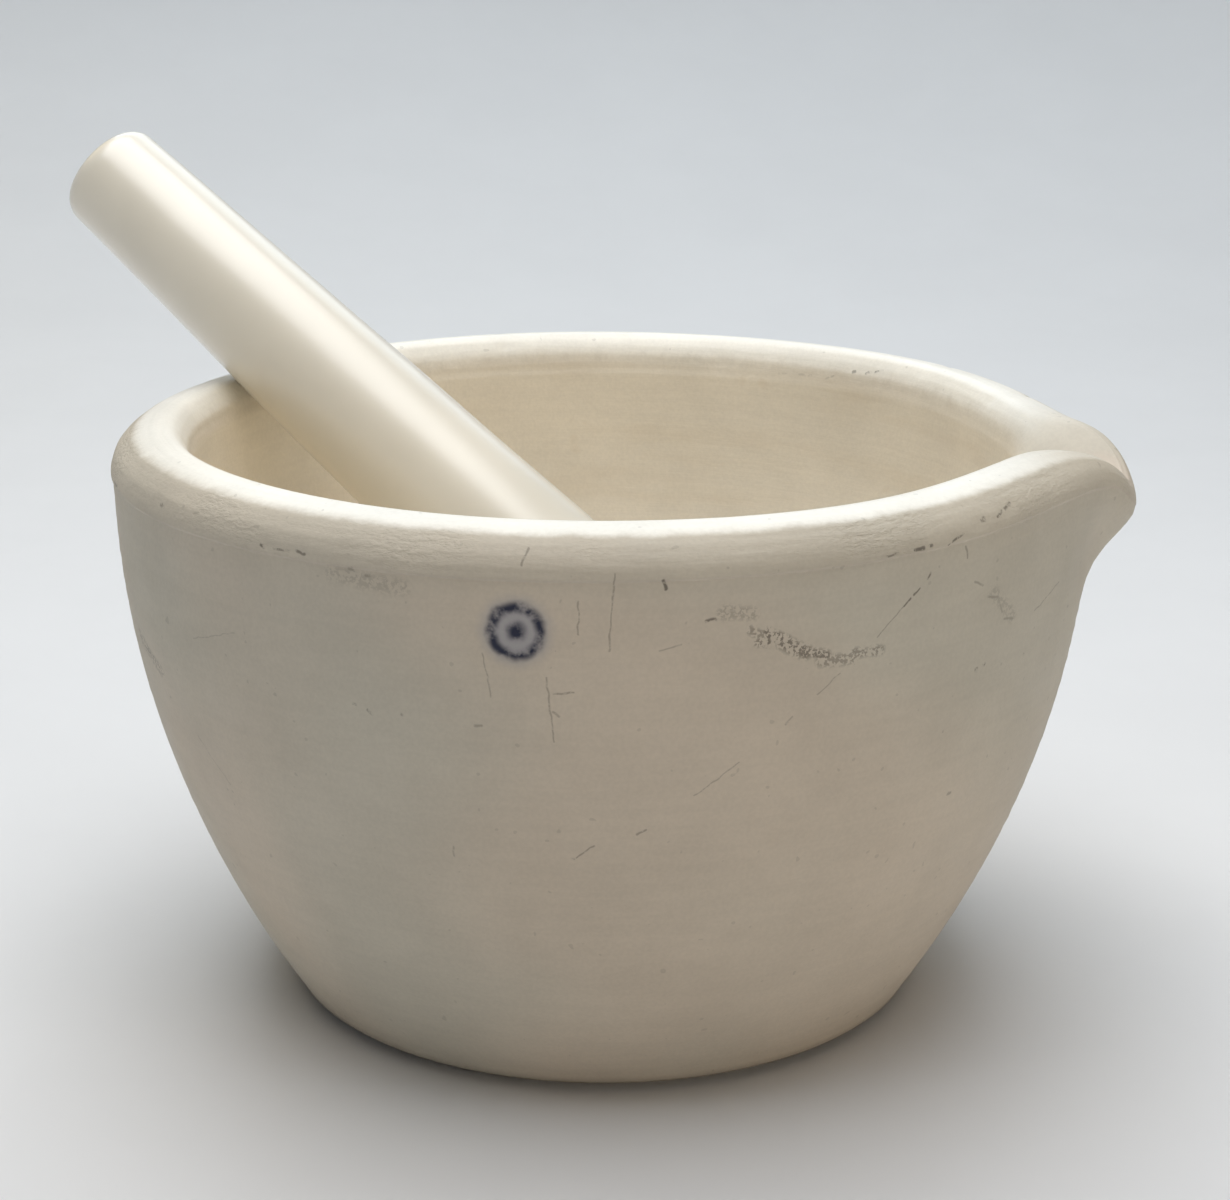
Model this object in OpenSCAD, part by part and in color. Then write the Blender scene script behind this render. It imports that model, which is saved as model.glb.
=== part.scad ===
// Porcelain laboratory mortar with one pouring lip, and the pestle that rests in it.
// Frame: the origin is the middle of the mortar's foot, +Z is up and +X points to the pouring lip.
// Lengths are in millimetres and angles in degrees.

/* [Mortar] */
// Height of the rim above the foot
mortar_h = 121.3; // [115:0.1:121.3]
// Greatest radius of the wall below the rim
wall_r = 100.2; // [98:0.1:101]
// Radius of the flat foot
foot_r = 64; // [58:0.5:65]
// Thickness of the floor under the deepest point of the bowl
floor_t = 18; // [12:0.5:18]

/* [Rim] */
// Radius of the rim's top line
crest_r = 89.9; // [89.9:0.1:91]
// Greatest radius of the rounded rim
rim_r = 100.6; // [100.3:0.1:102]
// Height of the rounded outer side of the rim
rim_h = 7.7; // [6:0.1:10]
// Radius of the bowl just inside the rim
bowl_r = 84.5; // [84.5:0.5:86]
// Depth of the rounded inner side of the rim
rim_in_h = 9.4; // [9.4:0.2:12]

/* [Pouring lip] */
// How far the lip stands out beyond the rim
lip_reach = 8; // [6:0.1:12]
// How far the lip's top line moves outwards
lip_crest = 14.7; // [10:0.1:15]
// How far the lip's top line drops at the tip
lip_dip = 7.9; // [3:0.1:9]
// How far the rim's outer side drops at the tip
lip_drop = 6.7; // [5:0.1:9]
// How much the lip's -Y side stands above, and its +Y side below, the rim
lip_twist = 1.05; // [0:0.05:1.5]
// Height over which the lip flows back into the wall
lip_flow = 9; // [7:0.1:14]

/* [Pestle] */
// Length of the pestle
pestle_len = 219; // [215:0.5:219]
// Radius of the shaft at its plain end
end_r = 12; // [10:0.1:12]
// Radius of the shaft where the head begins
neck_r = 17.2; // [15:0.1:17.2]
// Greatest radius of the grinding head
head_r = 23.5; // [20:0.1:23.5]
// Height of the neck above the tip of the head
neck_z = 71; // [60:1:71]
// Angle between the leaning shaft and the table
lean = 37; // [36.9:0.1:37.1]
// Compass direction that the shaft leans to
lean_dir = 167; // [120:1:240]

/* [Hidden] */
$fn = 120; // facets of a full turn of the pestle

bisque = [0.85, 0.82, 0.75];
glaze = [0.94, 0.92, 0.86];

// The outer wall is a power curve: vertical at wall_top, and drawn in towards the foot.
wall_top = 114;
wall_draw = 25.5;
wall_power = 2.2;
foot_round = 2.5;
shoulder_h = 0.7;
wall_spacing = 0.8;

// The bowl's inside is a superellipse, from the rim's rounded inner side to the floor.
bowl_top = mortar_h - rim_in_h;
bowl_depth = bowl_top - floor_t;
bowl_power = 2.4;

// The rounded outer side of the rim is this much deeper opposite the lip, and shallower beside it.
rim_swing = 0.9;

// Half-widths of the lip's changes, in degrees either side of +X, and how pointed they are.
reach_width = 9.6;
reach_power = 1.8;
crest_width = 9.6;
crest_power = 2.3;
dip_width = 5.8;
drop_width = 4.8;
twist_at = 24;
twist_width = 15;
channel_drop = 5;
flow_power = 1.85;

// The mortar's outline is swept round in steps: close together at the lip, even round the rest.
lip_half = 40;
lip_side_steps = 14;
lip_spacing = 1.6;
back_steps = 19;
foot_steps = 3;
wall_steps = 10;
rim_steps = 6;
bowl_steps = 11;

// Where the head's tip lies: outwards along lean_dir from the bowl's axis, and up.
tip_out = -50.6;
tip_up = 34.2;
dome_h = 20;
head_z = 24;
end_round = 4;
end_dome = 2;
dome_steps = 12;
flare_steps = 24;
end_steps = 4;

// Radius of the outer wall at height z
function wall(z) = wall_r - wall_draw * pow(max(wall_top - z, 0) / 100, wall_power);

// Radius of the bowl's inside at height z
function bowl(z) =
    bowl_r * pow(1 - pow(min(max((bowl_top - z) / bowl_depth, 0), 1), bowl_power), 1 / bowl_power);

// Bell curve of the angle d: 1 in the lip's middle plane, 0 away from it
function bell(d, width, power) = exp(-pow(abs(d) / width, power));

// The rim's lines as functions of the angle d from +X
function twist_z(d) = -lip_twist * sign(d) * bell(abs(d) - twist_at, twist_width, 2);
function reach(d) = lip_reach * bell(d, reach_width, reach_power);
function rim_z(d) =
    mortar_h - rim_h + rim_swing * cos(d) - lip_drop * bell(d, drop_width, 2) + twist_z(d) - shoulder_h;
function top_r(d) = crest_r + lip_crest * bell(d, crest_width, crest_power);
function top_z(d) = mortar_h - lip_dip * bell(d, dip_width, 2) + twist_z(d);
function in_z(d) = top_z(d) - rim_in_h - channel_drop * bell(d, dip_width, 2);

// Radius of the outside at height z, where the lip flows out of the wall
function outside(d, z) =
    let (fade = exp(-pow(max(rim_z(d) - z, 0) / lip_flow, flow_power)))
    min(wall(z) + (rim_r - wall_r + reach(d)) * fade, rim_r + reach(d));

// Outline of the mortar in the radial plane at the angle d, from the foot to the bowl's floor
function mortar_outline(d) =
    let (roll_z = rim_z(d) + shoulder_h,
         roll_r = rim_r + reach(d),
         in_r = bowl(in_z(d)),
         foot_out = wall(foot_round) - foot_r,
         in_start = asin(pow(max(bowl_top - in_z(d), 0) / bowl_depth, bowl_power / 2)))
    concat([for (i = [0:foot_steps])
               let (a = 90 * i / foot_steps)
               [foot_r + foot_out * sin(a), foot_round * (1 - cos(a))]],
           [for (i = [1:wall_steps])
               let (z = foot_round + (rim_z(d) - foot_round) * pow(i / wall_steps, wall_spacing))
               [outside(d, z), z]],
           [for (i = [0:rim_steps])
               let (a = 90 * i / rim_steps)
               [top_r(d) + (roll_r - top_r(d)) * cos(a), roll_z + (top_z(d) - roll_z) * sin(a)]],
           [for (i = [1:rim_steps])
               let (a = 90 * i / rim_steps)
               [top_r(d) - (top_r(d) - in_r) * sin(a), top_z(d) - (top_z(d) - in_z(d)) * (1 - cos(a))]],
           [for (i = [1:bowl_steps - 1])
               let (a = in_start + (90 - in_start) * i / bowl_steps)
               [bowl_r * pow(cos(a), 2 / bowl_power), bowl_top - bowl_depth * pow(sin(a), 2 / bowl_power)]]);

// Angles of the outlines round the mortar, from the lip's middle plane to +180 and back through -180
side_angles = concat(
    [for (i = [1:lip_side_steps]) lip_half * pow(i / lip_side_steps, lip_spacing)],
    [for (i = [1:back_steps]) lip_half + (180 - lip_half) * i / back_steps]);
sweep_angles = concat([0], side_angles, [for (i = [len(side_angles) - 2:-1:0]) -side_angles[i]]);

module mortar() {
    outlines = [for (d = sweep_angles) mortar_outline(d)];
    n = len(outlines[0]);
    m = len(sweep_angles);
    floor_point = m * n;
    points = [for (i = [0:m - 1]) for (p = outlines[i])
                 [p[0] * cos(sweep_angles[i]), p[0] * sin(sweep_angles[i]), p[1]]];
    skin = [for (i = [0:m - 1]) for (j = [0:n - 2])
               let (a = i * n + j, b = a + 1, c = (i + 1) % m * n + j + 1, e = c - 1)
               each [[a, b, c], [a, c, e]]];
    floor_fan = [for (i = [0:m - 1]) [i * n + n - 1, floor_point, (i + 1) % m * n + n - 1]];
    foot = [for (i = [0:m - 1]) i * n];
    color(bisque)
        polyhedron(points = concat(points, [[0, 0, floor_t]]), faces = concat(skin, floor_fan, [foot]));
}

// Outline of half the pestle, standing on the tip of its head
pestle_outline = concat(
    [for (i = [0:dome_steps])
        let (a = 90 * i / dome_steps)
        [head_r * sin(a), dome_h * (1 - cos(a))]],
    [for (i = [0:flare_steps])
        let (z = head_z + (neck_z - head_z) * i / flare_steps)
        [(head_r + neck_r) / 2 + (head_r - neck_r) / 2 * cos(180 * i / flare_steps), z]],
    [for (i = [0:end_steps])
        let (a = 90 * i / end_steps)
        [end_r - end_round + end_round * cos(a), pestle_len - end_dome - end_round + end_round * sin(a)]],
    [for (i = [1:end_steps])
        let (t = i / end_steps)
        [(end_r - end_round) * (1 - t), pestle_len - end_dome + end_dome * sin(90 * t)]]);

module pestle() {
    color(glaze)
        rotate([0, 0, lean_dir])
            translate([tip_out, 0, tip_up])
                rotate([0, 90 - lean, 0])
                    rotate_extrude() polygon(pestle_outline);
}

mortar();
pestle();
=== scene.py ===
"""Laboratory mortar and pestle of white porcelain, on a pale sweep under a soft overhead light.

Units are metres and radians unless a name or comment says otherwise: shapes are worked out in
millimetres and degrees, and MM and DEG turn them into metres and radians.
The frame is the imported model's: origin in the middle of the foot, +Z up, +X to the pouring lip.
"""

import math

import bpy
import numpy as np
from mathutils import Matrix, Vector


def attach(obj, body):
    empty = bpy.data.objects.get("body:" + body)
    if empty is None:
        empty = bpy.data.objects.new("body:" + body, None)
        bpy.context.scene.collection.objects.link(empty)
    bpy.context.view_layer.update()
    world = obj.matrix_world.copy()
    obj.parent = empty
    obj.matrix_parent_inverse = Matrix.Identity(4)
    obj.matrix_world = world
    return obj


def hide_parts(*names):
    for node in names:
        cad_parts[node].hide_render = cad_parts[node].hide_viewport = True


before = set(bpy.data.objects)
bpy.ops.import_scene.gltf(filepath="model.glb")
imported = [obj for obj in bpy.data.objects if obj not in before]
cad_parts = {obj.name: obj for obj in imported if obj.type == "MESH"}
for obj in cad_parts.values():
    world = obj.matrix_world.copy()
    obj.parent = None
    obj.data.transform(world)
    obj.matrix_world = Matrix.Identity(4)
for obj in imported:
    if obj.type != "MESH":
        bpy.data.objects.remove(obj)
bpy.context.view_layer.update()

MM = 0.001
DEG = math.pi / 180
FAR = 1e6                 # further than anything, in any unit

# ---------------------------------------------------------------- driving dimensions, mm and degrees

MORTAR_H = 121.3          # rim above the foot
WALL_R = 100.2            # greatest radius of the wall
WALL_TOP = 114.0          # the wall is vertical here and drawn in below
WALL_DRAW = 25.5          # how far it is drawn in, 100 mm further down
WALL_POWER = 2.2
FOOT_R = 64.0
FOOT_STEP = 1.0           # height of the foot's straight side, under the wall
FOOT_ROUND = 2.0          # and its lower edge is rounded over this height
FLOOR_T = 18.0            # thickness under the bowl's deepest point

CREST_R = 89.9            # radius of the rim's top line
RIM_R = 100.6             # greatest radius of the rolled rim
RIM_H = 7.7               # height of the roll's outer side, on average round the rim
RIM_H_SWING = 0.9         # it is this much deeper opposite the lip, and shallower at the lip
SHOULDER_H = 0.7          # height of the small step under the roll
BOWL_R = 84.5             # radius just inside the rim
RIM_IN_H = 9.4            # depth of the roll's inner side
BOWL_POWER = 2.4          # the bowl's inside is a superellipse of this power

# The pouring lip: each change is a bell curve of the angle from +X, with a width and a power.
LIP_REACH, REACH_WIDTH, REACH_POWER = 8.0, 9.6, 1.8      # the roll's outer side moves out
LIP_CREST, CREST_WIDTH, CREST_POWER = 14.7, 9.6, 2.3     # its top line moves out
LIP_DIP, DIP_WIDTH = 7.9, 5.8                            # its top line drops
LIP_DROP, DROP_WIDTH = 6.7, 4.8                          # its outer side drops
LIP_TWIST, TWIST_AT, TWIST_WIDTH = 1.05, 24.0, 15.0      # one side stands higher than the other
LIP_FLOW, FLOW_POWER = 9.0, 1.85                         # height over which it flows into the wall
CHANNEL_DROP = 5.0                                       # extra depth of the pouring channel
TIP_WIDTH = 12.0                                         # where the roll has no step under it

PESTLE_LEN = 219.0
END_R = 12.0
NECK_R = 17.2
NECK_Z = 71.0
HEAD_R = 23.5
HEAD_Z = 24.0
DOME_H = 20.0
END_ROUND = 4.0
END_DOME = 2.0
LEAN = 37.0               # above the table
LEAN_DIR = 167.0          # round from +X
TIP_OUT = -50.6           # where the head's tip lies: outwards along LEAN_DIR, and up
TIP_UP = 34.2


# ---------------------------------------------------------------- mesh helpers

def lathe_mesh(name, rows, start, end):
    """A closed skin over rings of points: rows is (rings, points round, 3); start and end close it."""
    rings, around, _ = rows.shape
    verts = [tuple(p) for p in rows.reshape(-1, 3)] + [tuple(start), tuple(end)]
    first, last = len(verts) - 2, len(verts) - 1
    top = (rings - 1) * around
    faces = []
    for j in range(around):
        k = (j + 1) % around
        faces.append((first, k, j))
        for i in range(0, top, around):
            faces.append((i + j, i + k, i + around + k, i + around + j))
        faces.append((last, top + j, top + k))
    mesh = bpy.data.meshes.new(name)
    mesh.from_pydata(verts, [], faces)
    mesh.polygons.foreach_set("use_smooth", [True] * len(mesh.polygons))
    obj = bpy.data.objects.new(name, mesh)
    bpy.context.scene.collection.objects.link(obj)
    return obj


def ring_attribute(obj, name, values, around, start, end):
    """Store one number for each ring of a lathe mesh as an attribute of its points."""
    attribute = obj.data.attributes.new(name, "FLOAT", "POINT")
    attribute.data.foreach_set("value", [*np.repeat(values, around), start, end])


def bell(d, width, power=2.0):
    return np.exp(-np.power(np.abs(d) / width, power))


def smooth(t):
    t = np.clip(t, 0, 1)
    return t * t * (3 - 2 * t)


def ripple(theta, along, seed, count, turns, pitch, size):
    """A sum of seeded waves over the angle and the distance along the outline, about size high.

    turns is the greatest number of waves round, and pitch the shortest and longest wave along.
    """
    rng = np.random.default_rng(seed)
    total = 0
    for _ in range(count):
        round_waves = rng.integers(0, turns + 1)
        wave = 2 * math.pi / rng.uniform(*pitch) * rng.choice((-1, 1))
        total = total + np.sin(round_waves * theta + wave * along + rng.uniform(0, 2 * math.pi))
    return total * size / math.sqrt(count)


# ---------------------------------------------------------------- mortar

def wall(z):
    """Radius of the outer wall at height z."""
    return WALL_R - WALL_DRAW * np.power(np.maximum(WALL_TOP - z, 0) / 100, WALL_POWER)


def bowl(z):
    """Radius of the bowl's inside at height z."""
    top = MORTAR_H - RIM_IN_H
    u = np.clip((top - z) / (top - FLOOR_T), 0, 1)
    return BOWL_R * np.power(1 - np.power(u, BOWL_POWER), 1 / BOWL_POWER)


def mortar_outline(d):
    """Outlines at the angles d: radius and height of each ring, and how much it is roll, crest or inside."""
    reach = LIP_REACH * bell(d, REACH_WIDTH, REACH_POWER)
    twist = -LIP_TWIST * np.sign(d) * bell(np.abs(d) - TWIST_AT, TWIST_WIDTH)
    rim_h = RIM_H - RIM_H_SWING * np.cos(d * DEG)
    roll_z = MORTAR_H - rim_h - LIP_DROP * bell(d, DROP_WIDTH) + twist
    rim_z = roll_z - SHOULDER_H
    rim_r = RIM_R + reach
    top_r = CREST_R + LIP_CREST * bell(d, CREST_WIDTH, CREST_POWER)
    top_z = MORTAR_H - LIP_DIP * bell(d, DIP_WIDTH) + twist
    in_z = top_z - RIM_IN_H - CHANNEL_DROP * bell(d, DIP_WIDTH)
    in_r = bowl(in_z)
    step = RIM_R - WALL_R
    tip = bell(d, TIP_WIDTH)
    rings = []

    def ring(r, z, roll=0.0, crest=0.0, inside=0.0):
        rings.append((r + 0 * d, z + 0 * d, roll, crest, inside))

    ring(FOOT_R * 0.5, 0)
    ring(FOOT_R * 0.97, 0)
    ring(FOOT_R, 0)
    foot_top = FOOT_STEP + FOOT_ROUND
    foot_out = wall(foot_top) - FOOT_R
    for a in np.linspace(0, 90, 9) * DEG:
        ring(FOOT_R + foot_out * math.sin(a), FOOT_STEP + FOOT_ROUND * (1 - math.cos(a)))
    for t in np.linspace(0, 1, 62)[1:]:
        z = foot_top + (rim_z - foot_top) * t
        fade = np.exp(-np.power(np.maximum(rim_z - z, 0) / LIP_FLOW, FLOW_POWER))
        ring(wall(z) + (reach + step * tip) * fade, z, roll=0.5 * smooth((t - 0.94) / 0.06))
    for t in np.linspace(0, 1, 6)[1:]:
        step_r = WALL_R + step * (tip + (1 - tip) * smooth(t)) + reach
        ring(step_r, rim_z + SHOULDER_H * t, roll=0.5 + 0.5 * t)
    for t in np.linspace(0, 1, 37)[1:]:
        a = math.pi / 2 * t
        z = roll_z + (top_z - roll_z) * math.sin(a)
        ring(top_r + (rim_r - top_r) * math.cos(a), z, roll=1.0, crest=smooth((t - 0.52) / 0.25))
    for t in np.linspace(0, 1, 35)[1:]:
        a = math.pi / 2 * t
        z = top_z - (top_z - in_z) * (1 - math.cos(a))
        bowl_side = smooth((t - 0.45) / 0.5)
        inner_r = top_r - (top_r - in_r) * math.sin(a)
        ring(inner_r, z, roll=1 - smooth(t), crest=1 - bowl_side, inside=bowl_side)
    top = MORTAR_H - RIM_IN_H
    depth = top - FLOOR_T
    start = np.arcsin(np.power(np.maximum(top - in_z, 0) / depth, BOWL_POWER / 2))
    for t in np.linspace(0, 1, 62)[1:-1]:
        a = start + (math.pi / 2 - start) * t
        z = top - depth * np.power(np.sin(a), 2 / BOWL_POWER)
        ring(BOWL_R * np.power(np.cos(a), 2 / BOWL_POWER), z, inside=1.0)
    r, z = (np.array([row[i] for row in rings]) for i in (0, 1))
    roll, crest, inside = (np.array([row[i] for row in rings]) for i in (2, 3, 4))
    return r, z, roll, crest, inside


# Angles of the outlines round the mortar: closer together within LIP_HALF of the lip's middle.
LIP_HALF = 45
LIP_SPACING = 0.6
BACK_SPACING = 0.9

# Chips and dents on the roll: angle, height, radius across and depth in mm.
CHIPS = [
    (-134, 116, 1.6, 0.25), (-114, 114.5, 1.3, 0.30), (-110, 114.5, 1.4, 0.30), (-104, 116, 1.6, 0.20),
    (-97, 115.5, 1.8, 0.18), (-64, 119, 1.8, 0.20), (-52, 117, 1.6, 0.22), (-45, 115, 1.3, 0.30),
    (-40, 115, 1.4, 0.30), (-36, 117, 1.4, 0.30), (-31, 118.5, 1.5, 0.30), (-21, 120, 1.5, 0.20),
    (28, 119, 1.8, 0.30), (46, 120, 1.5, 0.25), (83, 116, 2.0, 0.25), (118, 119, 1.6, 0.25),
    (149, 115, 1.5, 0.30), (171, 119, 1.8, 0.20), (-157, 118, 1.6, 0.25),
]


def grid_normals(points):
    """Outward unit normals of a grid of rings, closed round its second axis."""
    across = np.gradient(points, axis=0)
    around = np.roll(points, -1, 1) - np.roll(points, 1, 1)
    normal = np.cross(around, across)
    return normal / np.maximum(np.linalg.norm(normal, axis=-1, keepdims=True), 1e-12)


def make_mortar():
    near_lip = np.arange(-LIP_HALF, LIP_HALF, LIP_SPACING)
    d = np.concatenate([near_lip, np.arange(LIP_HALF, 360 - LIP_HALF, BACK_SPACING)])
    d = (d + 180) % 360 - 180
    r, z, roll, crest, inside = mortar_outline(d)
    theta = d * DEG
    points = np.stack([r * np.cos(theta), r * np.sin(theta), z], -1)
    back = int(np.argmax(np.abs(d)))
    steps = np.hypot(np.diff(r[:, back]), np.diff(z[:, back]))
    along = np.concatenate([[0], np.cumsum(steps)])

    # hand-turned and fired: never quite round, with fine turning lines and a wrinkled, chipped roll
    a = along[:, None]
    lines = ripple(theta, a, 3, 10, 3, (2.0, 9.0), 0.035)
    wrinkles = ripple(theta, a, 5, 26, 40, (1.4, 4.5), 0.012) * (1 - 0.7 * crest[:, None])
    slump = ripple(theta, a, 8, 8, 4, (60, 200), 0.16)
    bumps = slump + lines + roll[:, None] * wrinkles * (0.6 + 0.4 * np.sin(5 * theta + 1))
    for angle, height, radius, depth in CHIPS:
        off = np.hypot((d - angle) * DEG * RIM_R, z - height)
        bumps = bumps - depth * bell(off, radius) * (roll[:, None] > 0)
    lifted = smooth((along - along[1]) / 30)[:, None]
    points += grid_normals(points) * (bumps * lifted)[..., None]

    obj = lathe_mesh("mortar_body", points * MM, (0, 0, 0), (0, 0, FLOOR_T * MM))
    for name, values, end in (("along", along * MM, along[-1] * MM), ("roll", roll, 0), ("crest", crest, 0),
                              ("inside", inside, 1)):
        ring_attribute(obj, name, values, len(d), 0, end)
    return obj


# ---------------------------------------------------------------- pestle

def pestle_outline():
    """Radius and height up from the tip of the head."""
    out = []
    for a in np.linspace(0, 90, 30)[1:] * DEG:
        out.append((HEAD_R * math.sin(a), DOME_H * (1 - math.cos(a))))
    for t in np.linspace(0, 1, 40):
        swell = (HEAD_R - NECK_R) / 2 * math.cos(math.pi * t)
        out.append(((HEAD_R + NECK_R) / 2 + swell, HEAD_Z + (NECK_Z - HEAD_Z) * t))
    top = PESTLE_LEN - END_DOME - END_ROUND
    for t in np.linspace(0, 1, 60)[1:-1]:
        out.append((NECK_R + (END_R - NECK_R) * t, NECK_Z + (top - NECK_Z) * t))
    for a in np.linspace(0, 90, 12) * DEG:
        out.append((END_R - END_ROUND + END_ROUND * math.cos(a), top + END_ROUND * math.sin(a)))
    for t in np.linspace(0, 1, 8)[1:-1]:
        rise = END_DOME * math.sin(math.pi / 2 * t)
        out.append(((END_R - END_ROUND) * (1 - t), PESTLE_LEN - END_DOME + rise))
    return np.array(out)


def pestle_place():
    """Turns a pestle standing on its head's tip at the origin into the one leaning in the bowl."""
    turn = Matrix.Rotation(LEAN_DIR * DEG, 4, "Z")
    place = Matrix.Translation((TIP_OUT * MM, 0, TIP_UP * MM))
    tilt = Matrix.Rotation((90 - LEAN) * DEG, 4, "Y")
    return turn @ place @ tilt


def make_pestle():
    r, z = pestle_outline().T
    theta = np.arange(0, 360, 3.0) * DEG
    uneven = ripple(theta, z[:, None], 12, 8, 3, (40, 150), 0.07)
    radius = r[:, None] + uneven * smooth(r / 10)[:, None]
    points = np.stack([radius * np.cos(theta), radius * np.sin(theta), z[:, None] + 0 * theta], -1)
    obj = lathe_mesh("pestle_body", points * MM, (0, 0, 0), (0, 0, PESTLE_LEN * MM))
    ring_attribute(obj, "along", z * MM, len(theta), 0, PESTLE_LEN * MM)
    obj.data.transform(pestle_place())
    return obj


# ---------------------------------------------------------------- material helpers

class Nodes:
    """Short calls that build one material's node tree."""

    def __init__(self, name):
        self.material = bpy.data.materials.new(name)
        self.material.use_nodes = True
        self.tree = self.material.node_tree
        self.shader = self.tree.nodes["Principled BSDF"]

    def put(self, socket, value):
        if isinstance(value, bpy.types.NodeSocket):
            self.tree.links.new(value, socket)
        elif value is not None:
            if getattr(socket, "type", "") == "RGBA" and len(value) == 3:
                value = (*value, 1)
            socket.default_value = value

    def node(self, kind, **settings):
        made = self.tree.nodes.new(kind)
        for key, value in settings.items():
            setattr(made, key, value)
        return made

    def math(self, operation, *values):
        made = self.node("ShaderNodeMath", operation=operation)
        for socket, value in zip(made.inputs, values):
            self.put(socket, value)
        return made.outputs[0]

    def vector(self, operation, a, b):
        made = self.node("ShaderNodeVectorMath", operation=operation)
        self.put(made.inputs[0], a)
        self.put(made.inputs[1], b)
        return made.outputs["Value" if operation in ("DISTANCE", "DOT_PRODUCT") else "Vector"]

    def combine(self, x, y, z):
        made = self.node("ShaderNodeCombineXYZ")
        for socket, value in zip(made.inputs, (x, y, z)):
            self.put(socket, value)
        return made.outputs[0]

    def separate(self, value):
        made = self.node("ShaderNodeSeparateXYZ")
        self.put(made.inputs[0], value)
        return made.outputs

    def attribute(self, name):
        return self.node("ShaderNodeAttribute", attribute_name=name).outputs["Fac"]

    def place(self):
        return self.node("ShaderNodeTexCoord").outputs["Object"]

    def noise(self, vector, scale, detail=2.0, roughness=0.5):
        made = self.node("ShaderNodeTexNoise")
        self.put(made.inputs["Vector"], vector)
        for key, value in (("Scale", scale), ("Detail", detail), ("Roughness", roughness)):
            made.inputs[key].default_value = value
        return made.outputs["Fac"]

    def ramp(self, value, low, high, out_low=0.0, out_high=1.0):
        made = self.node("ShaderNodeMapRange", interpolation_type="SMOOTHSTEP")
        for socket, v in zip(made.inputs, (value, low, high, out_low, out_high)):
            self.put(socket, v)
        return made.outputs[0]

    def mix(self, amount, a, b, blend="MIX"):
        made = self.node("ShaderNodeMix", data_type="RGBA", blend_type=blend)
        self.put(made.inputs[0], amount)
        self.put(made.inputs[6], a)
        self.put(made.inputs[7], b)
        return made.outputs[2]

    def bump(self, height, distance, strength=1.0, normal=None):
        made = self.node("ShaderNodeBump")
        self.put(made.inputs["Height"], height)
        made.inputs["Distance"].default_value = distance
        self.put(made.inputs["Strength"], strength)
        self.put(made.inputs["Normal"], normal)
        return made.outputs[0]

    def set(self, **values):
        """Set the shader's sockets: base_color becomes Base Color."""
        for key, value in values.items():
            self.put(self.shader.inputs[key.replace("_", " ").title().replace("Ior", "IOR")], value)


def stroke_group():
    """Node group that draws one straight stroke on the unrolled wall.

    Place is (mm round, mm up, mask): what comes out has the mask raised to Strength on the stroke.
    """
    group = bpy.data.node_groups.new("stroke", "ShaderNodeTree")
    for name, kind in (("Place", "Vector"), ("Minus Start", "Vector"), ("Direction", "Vector"),
                       ("Length", "Float"), ("Sharpness", "Float"), ("Strength", "Float")):
        group.interface.new_socket(name, in_out="INPUT", socket_type="NodeSocket" + kind)
    group.interface.new_socket("Place", in_out="OUTPUT", socket_type="NodeSocketVector")
    given = group.nodes.new("NodeGroupInput").outputs

    def step(kind, operation, *values):
        made = group.nodes.new(kind)
        made.operation = operation
        for socket, value in zip(made.inputs, values):
            if isinstance(value, bpy.types.NodeSocket):
                group.links.new(value, socket)
            else:
                socket.default_value = value
        return made

    vector, number = "ShaderNodeVectorMath", "ShaderNodeMath"
    from_start = step(vector, "MULTIPLY_ADD", given["Place"], (1, 1, 0), given["Minus Start"]).outputs[0]
    ahead = step(vector, "DOT_PRODUCT", from_start, given["Direction"]).outputs["Value"]
    ahead = step(number, "MINIMUM", ahead, given["Length"]).outputs[0]
    ahead = step(number, "MAXIMUM", ahead, 0.0).outputs[0]
    nearest = step(vector, "SCALE", given["Direction"])
    group.links.new(ahead, nearest.inputs["Scale"])
    off = step(vector, "DISTANCE", from_start, nearest.outputs[0]).outputs["Value"]
    fall = step(number, "MULTIPLY_ADD", off, given["Sharpness"], 1.6)
    fall.use_clamp = True
    lift = group.nodes.new("ShaderNodeCombineXYZ")
    lift.inputs[0].default_value = lift.inputs[1].default_value = -FAR
    group.links.new(step(number, "MULTIPLY", fall.outputs[0], given["Strength"]).outputs[0], lift.inputs[2])
    raised = step(vector, "MAXIMUM", given["Place"], lift.outputs[0]).outputs[0]
    group.links.new(raised, group.nodes.new("NodeGroupOutput").inputs[0])
    return group


def strokes(nodes, group, place, table):
    """The strongest of the strokes in the table: angle, height, angle, height, width mm, strength."""
    for angle_a, z_a, angle_b, z_b, width, strength in table:
        start = Vector((angle_a * DEG * UNROLL_R, z_a, 0))
        span = Vector((angle_b * DEG * UNROLL_R, z_b, 0)) - start
        made = nodes.node("ShaderNodeGroup", node_tree=group)
        nodes.put(made.inputs["Place"], place)
        made.inputs["Minus Start"].default_value = -start
        made.inputs["Direction"].default_value = span.normalized()
        made.inputs["Length"].default_value = span.length
        made.inputs["Sharpness"].default_value = -2 / width
        made.inputs["Strength"].default_value = strength
        place = made.outputs[0]
    return nodes.separate(place)[2]


# ---------------------------------------------------------------- bisque porcelain of the mortar

UNROLL_R = 100.0          # the wall is unrolled at this radius, in mm, to place its marks
FOLD = 168.0              # the wall's halves meet at -FOLD and 180 - FOLD degrees
FAR_LOWER = 14.0          # scratches and scuffs are this many mm lower on the far half

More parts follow.
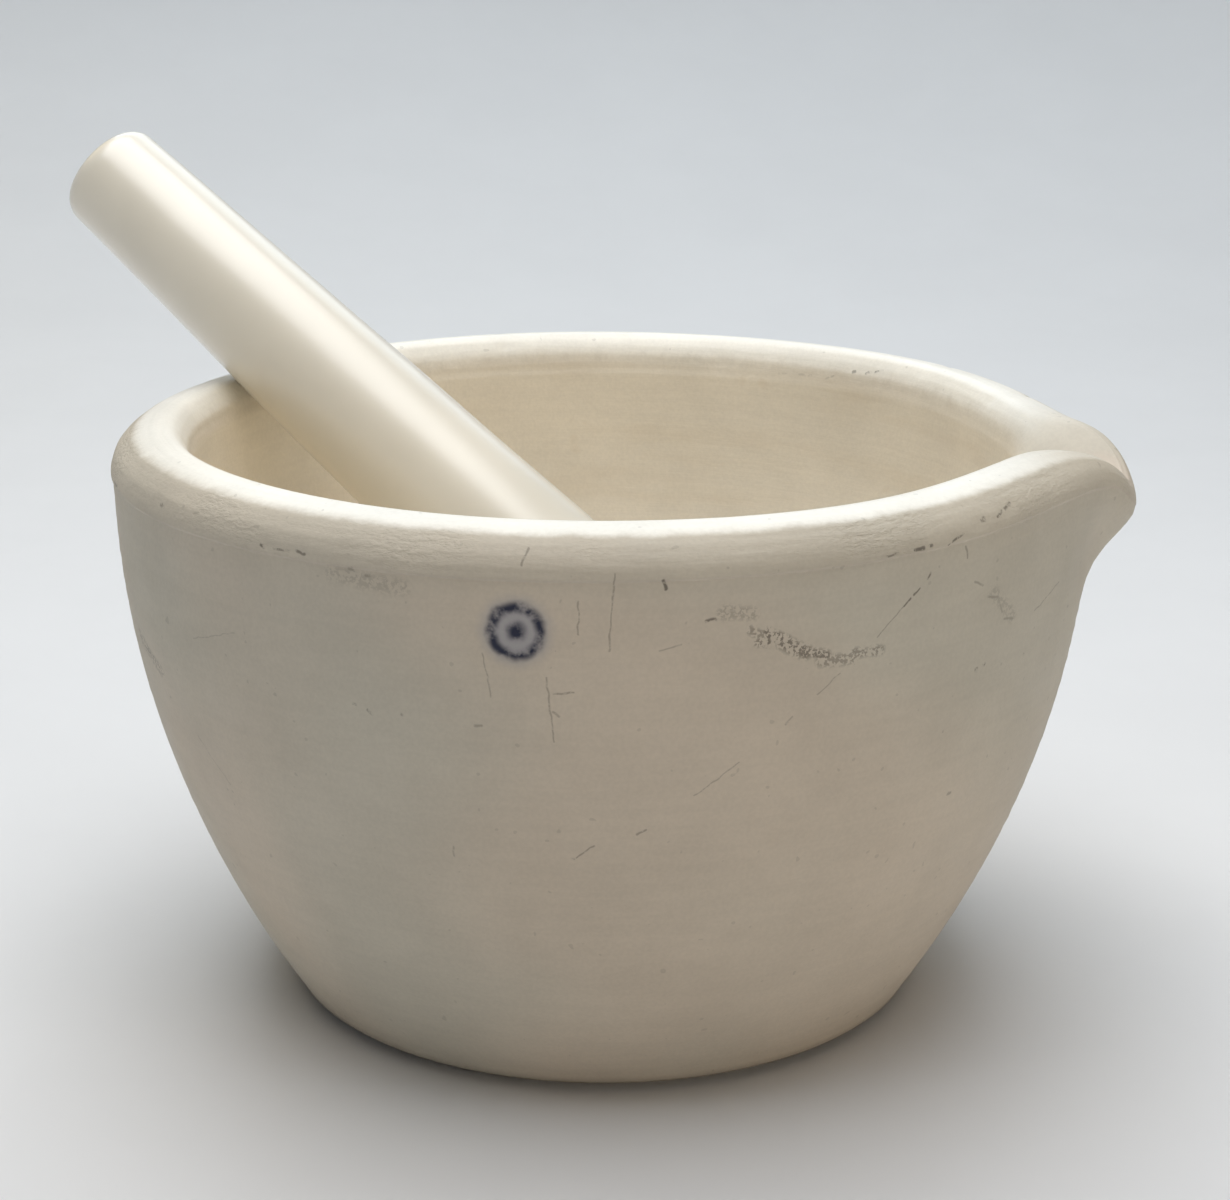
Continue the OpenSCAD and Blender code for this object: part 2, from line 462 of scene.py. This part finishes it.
# Thin scratches on the wall: angle, height, angle, height, width mm, strength. The half of the wall
# that faces the camera has them as they stand here; the far half gets them mirrored and lower.
SCRATCHES = [
    (-72.3, 113.5, -72, 112, 0.5, 0.95), (-77, 115, -77.5, 101, 0.28, 0.45),
    (-80.5, 110, -80.5, 104, 0.28, 0.45),
    (-90, 100, -89.3, 92, 0.25, 0.40), (-83.6, 96, -83, 84, 0.30, 0.45), (-83, 93, -81, 93.5, 0.35, 0.50),
    (-83, 89.6, -82.4, 88.9, 0.40, 0.45), (-72.5, 101, -70.5, 102, 0.28, 0.40),
    (-85.5, 118.5, -86, 116, 0.35, 0.55), (-49.4, 99.8, -46.4, 104.6, 0.22, 0.50),
    (-46.3, 104.7, -45.4, 105.9, 0.35, 0.85), (-45, 106.4, -44.3, 107.6, 0.35, 0.85),
    (-43.4, 109, -43, 110, 0.38, 0.80), (-56, 90.5, -53.5, 94, 0.25, 0.40), (-68.5, 73, -64, 79, 0.25, 0.40),
    (-59.2, 85.6, -58.5, 87, 0.30, 0.40), (-38.2, 113.5, -37.8, 111, 0.30, 0.50),
    (-36.3, 106, -35, 105, 0.40, 0.45), (-34, 102.5, -32.2, 101.8, 0.45, 0.45),
    (-32, 101.5, -31, 98.5, 0.45, 0.35), (-30.5, 97, -28.8, 96.6, 0.45, 0.45),
    (-81, 60.5, -79, 63, 0.30, 0.55), (-74.4, 65.4, -73.5, 66.2, 0.40, 0.55),
    (-94.6, 61, -94.8, 59, 0.35, 0.35), (-128, 92, -120, 96, 0.20, 0.30), (-132, 70, -127, 62, 0.20, 0.30),
    (-8, 70, -3, 74, 0.35, 0.40), (-158, 90, -152, 82, 0.25, 0.40), (-24, 96, -18, 99, 0.25, 0.40),
]

# Dark nicks and spots, most of them where the roll's edge has been knocked. The far half has them
# mirrored at the same height, because the roll is at that height all round.
NICKS = [
    (-114.9, 114.3, -114.6, 114, 0.5, 0.85), (-113.2, 114.2, -111.3, 114.3, 0.37, 0.70),
    (-110.2, 114.4, -109.2, 114.2, 0.56, 0.80), (-104, 112.6, -103, 112.4, 0.5, 0.45),
    (-102, 112, -101.6, 112, 0.56, 0.50), (-133, 115.8, -132.2, 115.5, 0.62, 0.55),
    (-137, 118.6, -136.8, 118.6, 0.43, 0.55), (-67.9, 106, -67.2, 106.1, 0.62, 0.85),
    (-48.9, 114.5, -47.6, 114.7, 0.37, 0.70), (-45.3, 114.7, -44.4, 114.8, 0.56, 0.90),
    (-43.6, 114.9, -43.2, 115, 0.5, 0.90), (-40.8, 114.4, -38.8, 115.8, 0.43, 0.85),
    (-35.6, 117.2, -35.2, 117.3, 0.62, 0.85), (-33.2, 117.2, -32.2, 117.9, 0.43, 0.80),
    (-31.5, 118, -30.2, 118.5, 0.5, 0.85), (-25.2, 87.8, -25.1, 87.8, 0.43, 0.50),
    (-34.5, 88.6, -34.4, 88.6, 0.62, 0.65), (-33.3, 89.2, -33.2, 89.2, 0.62, 0.65),
    (-38.5, 78, -38.5, 77.5, 0.37, 0.50), (-35.2, 63.4, -34.6, 63.3, 0.5, 0.50),
    (-104.5, 87.5, -104.2, 87.5, 0.5, 0.45), (-102.8, 86.8, -102.3, 86, 0.5, 0.50),
    (-99, 87, -98.9, 87, 0.5, 0.45), (-91, 86.3, -90.4, 86.2, 0.5, 0.45),
    (-81.5, 60.3, -81.3, 60.3, 0.5, 0.60),
    (-52, 97, -51.9, 97, 0.43, 0.40), (-66, 107.5, -65.4, 107.4, 0.56, 0.30),
    (-150, 113.4, -148, 113.6, 0.5, 0.60), (-13, 92, -12.8, 92, 0.5, 0.50),
]

# Grey rubbed scuffs, broken up into grains, and mirrored and lower on the far half.
SCUFFS = [
    (-63.7, 104, -62.5, 103, 1.4, 0.55), (-62.4, 101.6, -61.8, 101.4, 1.8, 0.85),
    (-61.8, 103, -59.8, 101.6, 1.8, 0.85), (-60, 101, -57.4, 98.8, 2.3, 0.80),
    (-57.4, 99, -55.2, 97.8, 1.6, 0.80),
    (-55.8, 96.8, -52.2, 96.6, 2.0, 0.55), (-52, 97.4, -48.8, 97.2, 1.7, 0.60),
    (-66.3, 107.4, -63.4, 106.8, 2.2, 0.35), (-33, 103, -29, 97, 2.4, 0.25),
    (-106, 111.5, -98, 110.5, 2.6, 0.25),
    (-146, 84, -139, 80, 2.4, 0.45), (-7, 60, -2, 57, 2.2, 0.40),
]

MARK_AT = (-86.6 * DEG * UNROLL_R, 104.2, 0)     # the small cobalt potter's mark, on the unrolled wall
MARK_R = 4.3
LIP_MIDDLE = (0.100, 0.0, 0.115)            # the crest's painted highlight and its coat fade out round here, in metres
CHANNEL_TIP = (0.1015, 0.0, 0.1135)         # the pink blush is round here


def bisque():
    n = Nodes("bisque_porcelain")
    place = n.place()
    x, y, z = n.separate(place)
    along, roll, crest, inside = (n.attribute(name) for name in ("along", "roll", "crest", "inside"))
    lengthwise = n.combine(x, y, n.math("MULTIPLY", along, 14.0))

    # the body's colour: the outer wall painted darker than the same clay in the bowl, as painted shade, in
    # patches of grey and yellow tone; a painted highlight on the crest; lighter and warmer in the bowl
    patch = n.ramp(n.noise(place, 13, 1.5), 0.35, 0.65)
    outer = n.mix(patch, (0.555, 0.510, 0.420), (0.610, 0.525, 0.42))
    outer = n.mix(n.math("MULTIPLY", roll, 0.8), outer, (0.575, 0.515, 0.415))
    # painted shade: a darker line along the small step under the roll
    step_shade = n.math("MULTIPLY", n.ramp(roll, 0.48, 0.70), n.ramp(roll, 0.82, 1.0, 1, 0))
    outer = n.mix(n.math("MULTIPLY", step_shade, n.math("SUBTRACT", 1.0, crest)), outer, (0.55, 0.485, 0.40))
    # painted highlight: the top of the crest is painted near white with a mottled edge, and less of it near
    # the lip
    edge = n.math("ADD", crest, n.math("MULTIPLY_ADD", n.noise(place, 220, 4, 0.65), 0.9, -0.45))
    crested = n.math("MULTIPLY", n.ramp(edge, 0.0, 1.0), n.ramp(crest, 0.0, 0.3))
    to_lip = n.ramp(n.vector("DISTANCE", place, LIP_MIDDLE), 0.012, 0.040, 0.2, 1.0)
    color = n.mix(n.math("MULTIPLY", crested, to_lip), outer, (0.94, 0.90, 0.80))
    color = n.mix(inside, color, (0.86, 0.79, 0.665))
    cloud = n.ramp(n.noise(place, 46, 4, 0.6), 0.3, 0.7, 0.955, 1.03)
    grain = n.ramp(n.noise(place, 1300, 2), 0.3, 0.7, 0.975, 1.02)
    turned = n.ramp(n.noise(lengthwise, 34, 3, 0.6), 0.35, 0.65, 0.985, 1.012)
    shade = n.math("MULTIPLY", n.math("MULTIPLY", cloud, grain), turned)
    color = n.mix(1.0, color, n.combine(shade, shade, shade), "MULTIPLY")

    # tan bands and blooms that years of grinding left in the bowl, painted shade darkening the foot's lowest
    # few millimetres, and a pink blush in the channel
    bands = n.ramp(n.noise(n.combine(x, y, n.math("MULTIPLY", z, 5.0)), 16, 3, 0.55), 0.46, 0.72)
    blots = n.ramp(n.noise(place, 130, 2), 0.66, 0.76)
    stain = n.math("MAXIMUM", n.math("MULTIPLY", bands, 0.32), n.math("MULTIPLY", blots, 0.22))
    color = n.mix(n.math("MULTIPLY", stain, inside), color, (0.70, 0.585, 0.43))
    # painted shade: the lowest few millimetres of the foot are darkened where the contact shadow falls
    color = n.mix(n.ramp(z, 0.0008, 0.0042, 0.75, 0), color, (0.23, 0.19, 0.14))
    tip = n.vector("DISTANCE", place, CHANNEL_TIP)
    tip = n.math("ADD", tip, n.math("MULTIPLY", n.noise(place, 400, 2), 0.004))
    blush = n.ramp(tip, 0.003, 0.012, 0.45, 0)
    color = n.mix(blush, color, (0.70, 0.53, 0.42))

    # the wall unrolled to mm round and mm up, its far half folded onto the near one, a little crooked
    fold_at = FOLD * DEG * UNROLL_R
    angle = n.math("MULTIPLY_ADD", n.math("ARCTAN2", y, x), UNROLL_R, fold_at)
    folded = n.math("SUBTRACT", n.math("PINGPONG", angle, math.pi * UNROLL_R), fold_at)
    far_side = (math.cos((270 - FOLD) * DEG), math.sin((270 - FOLD) * DEG), 0)
    is_far = n.math("GREATER_THAN", n.vector("DOT_PRODUCT", place, far_side), 0.0)
    lower = n.math("MULTIPLY", is_far, FAR_LOWER)
    height = n.math("MULTIPLY", z, 1000.0)
    wander = n.node("ShaderNodeTexNoise")
    n.put(wander.inputs["Vector"], place)
    wander.inputs["Scale"].default_value = 420
    wander.inputs["Detail"].default_value = 1.0
    crook = n.node("ShaderNodeVectorMath", operation="MULTIPLY_ADD")
    for socket, value in zip(crook.inputs, (wander.outputs["Color"], (0.9, 0.9, 0), (-0.45, -0.45, 0))):
        n.put(socket, value)
    unrolled = n.vector("ADD", n.combine(folded, height, 0.0), crook.outputs[0])
    shifted = n.vector("ADD", n.combine(folded, n.math("ADD", height, lower), 0.0), crook.outputs[0])

    # scratches, nicks and scuffs, broken up by a fine speckle
    group = stroke_group()
    speckle = n.noise(place, 1500, 2, 0.6)
    coarse = n.noise(place, 750, 3, 0.7)
    worn = n.math("MULTIPLY", strokes(n, group, shifted, SCRATCHES), n.ramp(speckle, 0.30, 0.50, 0.35, 1.0))
    nicked = n.math("MULTIPLY", strokes(n, group, unrolled, NICKS), n.ramp(coarse, 0.40, 0.55, 0.1, 1.0))
    grains = n.ramp(n.math("ADD", coarse, speckle), 0.94, 1.06)
    rubbed = n.math("MULTIPLY", strokes(n, group, shifted, SCUFFS), grains)
    outside = n.math("SUBTRACT", 1.0, inside)
    dark = n.math("MAXIMUM", n.math("MAXIMUM", worn, nicked), rubbed)
    dust = n.ramp(n.noise(place, 620, 0), 0.82, 0.84, 0, 0.20)
    dark = n.math("MULTIPLY", n.math("MAXIMUM", dark, dust), outside)
    color = n.mix(n.math("MULTIPLY", dark, 0.85), color, (0.10, 0.08, 0.06))

    # the potter's mark: a small cobalt ring and dot that have bled into the clay, on the near side only
    own_place = n.combine(n.math("SUBTRACT", angle, fold_at), height, 0.0)
    off = n.vector("DISTANCE", n.vector("ADD", own_place, crook.outputs[0]), MARK_AT)
    ring = n.math("ABSOLUTE", n.math("SUBTRACT", off, MARK_R))
    ink = n.math("MAXIMUM", n.ramp(ring, 0.1, 1.6, 1, 0), n.ramp(off, 0.6, 2.4, 1, 0))
    ink = n.math("MULTIPLY", ink, n.ramp(n.noise(place, 330, 3, 0.6), 0.34, 0.56, 0.30, 1.0))
    halo = n.math("MULTIPLY", n.ramp(off, MARK_R - 1, MARK_R + 3.4, 1, 0), outside)
    color = n.mix(n.math("MULTIPLY", halo, 0.55), color, (0.22, 0.25, 0.33))
    color = n.mix(n.math("MULTIPLY", n.math("MULTIPLY", ink, outside), 0.97), color, (0.010, 0.014, 0.040))

    # relief: fine fired grain everywhere, turning lines, and the flaky side of the roll
    fine = n.bump(n.noise(place, 900, 3, 0.6), 0.00006, 0.7)
    turning = n.bump(n.noise(lengthwise, 90, 3, 0.65), 0.00010, 0.5, fine)
    flaky = n.noise(n.combine(x, y, n.math("MULTIPLY", along, 2.0)), 420, 4, 0.65)
    side = n.math("MULTIPLY", roll, n.math("SUBTRACT", 1.0, crested))
    patchy = n.math("MULTIPLY", side, n.ramp(n.noise(place, 36, 2), 0.40, 0.62, 0.25, 1.0))
    relief = n.bump(n.ramp(flaky, 0.35, 0.65), 0.00013, patchy, turning)
    rough = n.ramp(n.noise(place, 60, 3), 0.3, 0.7, 0.56, 0.68)
    polish = n.math("MULTIPLY", n.math("MULTIPLY", crested, to_lip), 0.7)
    n.set(base_color=color, roughness=rough, normal=relief, coat_weight=polish)
    n.shader.inputs["Specular IOR Level"].default_value = 0.35
    n.shader.inputs["Coat Roughness"].default_value = 0.32
    return n.material


# ---------------------------------------------------------------- glazed porcelain of the pestle

GLAZE_EDGE = 79 * MM      # the glaze stops here, above the bare grinding head


def glaze():
    n = Nodes("glazed_porcelain")
    place = n.place()
    along = n.attribute("along")
    edge = n.math("ADD", along, n.math("MULTIPLY", n.noise(place, 90, 2), 0.004))
    glazed = n.ramp(edge, GLAZE_EDGE + 0.0016, GLAZE_EDGE + 0.0024)
    line = n.math("MULTIPLY", glazed, n.ramp(edge, GLAZE_EDGE + 0.002, GLAZE_EDGE + 0.005, 1, 0))

    cloud = n.ramp(n.noise(place, 40, 3), 0.3, 0.7, 0.975, 1.015)
    bare = n.mix(n.ramp(n.noise(place, 120, 3), 0.4, 0.7, 0, 0.35), (0.80, 0.745, 0.64), (0.68, 0.62, 0.52))
    color = n.mix(glazed, bare, (0.85, 0.79, 0.665))
    color = n.mix(1.0, color, n.combine(cloud, cloud, cloud), "MULTIPLY")
    color = n.mix(n.math("MULTIPLY", line, 0.35), color, (0.60, 0.47, 0.32))

    # iron specks and pinholes under the glaze
    cells = n.node("ShaderNodeTexVoronoi")
    n.put(cells.inputs["Vector"], place)
    cells.inputs["Scale"].default_value = 130
    rare = n.ramp(n.separate(cells.outputs["Color"])[0], 0.90, 0.91)
    speck = n.math("MULTIPLY", n.ramp(cells.outputs["Distance"], 0.025, 0.055, 1, 0), rare)
    color = n.mix(n.math("MULTIPLY", speck, 0.6), color, (0.22, 0.15, 0.09))

    wave = n.bump(n.noise(place, 110, 2), 0.00012, 0.35)
    rough = n.bump(n.noise(place, 1400, 3, 0.6), 0.00005, n.math("SUBTRACT", 1.0, glazed), wave)
    smoothed = n.math("MULTIPLY_ADD", glazed, -0.28, 0.62)
    n.set(base_color=color, normal=rough, roughness=smoothed, coat_weight=glazed)
    n.shader.inputs["Coat Roughness"].default_value = 0.27
    n.shader.inputs["Coat IOR"].default_value = 1.6
    return n.material


def paper():
    n = Nodes("sweep_paper")
    fibre = n.ramp(n.noise(n.place(), 9, 4, 0.6), 0.3, 0.7, 0.985, 1.01)
    color = n.mix(1.0, (0.80, 0.80, 0.80), n.combine(fibre, fibre, fibre), "MULTIPLY")
    n.set(base_color=color, roughness=0.9)
    return n.material


# ---------------------------------------------------------------- camera, light and stage

CAMERA_AZIMUTH = -78.0
CAMERA_ELEVATION = 18.6
CAMERA_DISTANCE = 0.5153
CAMERA_ROLL = 0.13
CAMERA_LENS = 70.24       # mm, on a sensor 36 mm wide
CAMERA_SHIFT = (0.0090, 0.0722)


def make_camera():
    data = bpy.data.cameras.new("camera")
    data.sensor_width = 36.0
    data.sensor_fit = "HORIZONTAL"
    data.lens = CAMERA_LENS
    data.shift_x, data.shift_y = CAMERA_SHIFT
    data.clip_start = 0.01
    camera = bpy.data.objects.new("camera", data)
    bpy.context.scene.collection.objects.link(camera)
    a, e = CAMERA_AZIMUTH * DEG, CAMERA_ELEVATION * DEG
    back = Vector((math.cos(a) * math.cos(e), math.sin(a) * math.cos(e), math.sin(e)))
    camera.location = Vector((0, 0, MORTAR_H * MM / 2)) + back * CAMERA_DISTANCE
    look = (-back).to_track_quat("-Z", "Y").to_matrix()
    camera.rotation_euler = (look @ Matrix.Rotation(CAMERA_ROLL * DEG, 3, "Z")).to_euler()
    bpy.context.scene.camera = camera


def seen(right, back, up):
    """A place given as the camera sees it: to the right of the object, behind it, and up."""
    a = (CAMERA_AZIMUTH + 90) * DEG
    return Vector((right * math.cos(a) - back * math.sin(a), right * math.sin(a) + back * math.cos(a), up))


def area_light(name, location, size, power, color, spread=180):
    """A rectangular light aimed at the object. Spread is its full angle in degrees."""
    data = bpy.data.lights.new(name, "AREA")
    data.shape = "RECTANGLE"
    data.size, data.size_y = size
    data.energy = power
    data.color = color
    data.spread = spread * DEG
    light = bpy.data.objects.new(name, data)
    light.location = location
    light.rotation_euler = (Vector((0, 0, 0.05)) - location).to_track_quat("-Z", "Y").to_euler()
    bpy.context.scene.collection.objects.link(light)


def make_lights():
    area_light("overhead", seen(-0.05, 0.0, 1.0), (1.0, 0.8), 9.8, (0.95, 0.965, 0.985))
    area_light("behind", seen(0, 0.95, 0.80), (1.0, 0.7), 3.6, (0.75, 0.87, 0.97))
    area_light("left", seen(-0.6, 0.55, 0.75), (0.6, 0.6), 0.7, (1.0, 0.78, 0.45))
    area_light("right", seen(0.7, 0.35, 0.75), (0.6, 0.6), 0.3, (1.0, 0.93, 0.82))
    # its spread is narrow, so that its light fades out on the sweep instead of stopping at a line
    area_light("front", seen(0.8, -0.8, 0.28), (0.8, 0.4), 0.75, (1.0, 0.80, 0.55), spread=110)
    world = bpy.data.worlds.new("room")
    world.use_nodes = True
    background = world.node_tree.nodes["Background"]
    background.inputs["Color"].default_value = (0.75, 0.85, 1.0, 1)
    background.inputs["Strength"].default_value = 0.03
    bpy.context.scene.world = world


def make_sweep():
    """A round pale sweep: flat under the object, curving gently up all round."""
    flat, out, high, power = 0.42, 2.6, 3.0, 2.6
    radii = [0.02, 0.1, 0.2, 0.3]
    radii += [flat + (out - flat) * t for t in np.linspace(0, 1, 64)]
    around = np.arange(0, 360, 4.0) * DEG
    rows = [[(r * math.cos(a), r * math.sin(a), high * (max(r - flat, 0) / (out - flat)) ** power)
             for a in around] for r in radii]
    n = len(around)
    verts = [p for row in rows for p in row] + [(0, 0, 0)]
    faces = [(len(verts) - 1, j, (j + 1) % n) for j in range(n)]
    for i in range(0, (len(radii) - 1) * n, n):
        faces += [(i + j, i + n + j, i + n + (j + 1) % n, i + (j + 1) % n) for j in range(n)]
    mesh = bpy.data.meshes.new("sweep")
    mesh.from_pydata(verts, [], faces)
    mesh.polygons.foreach_set("use_smooth", [True] * len(mesh.polygons))
    sweep = bpy.data.objects.new("sweep", mesh)
    sweep.data.materials.append(paper())
    bpy.context.scene.collection.objects.link(sweep)


make_camera()
make_sweep()
make_lights()
bpy.context.scene.view_settings.view_transform = "Standard"

mortar = make_mortar()
mortar.data.materials.append(bisque())
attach(mortar, "mortar")
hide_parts("mortar")

pestle = make_pestle()
pestle.data.materials.append(glaze())
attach(pestle, "pestle")
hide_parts("pestle")
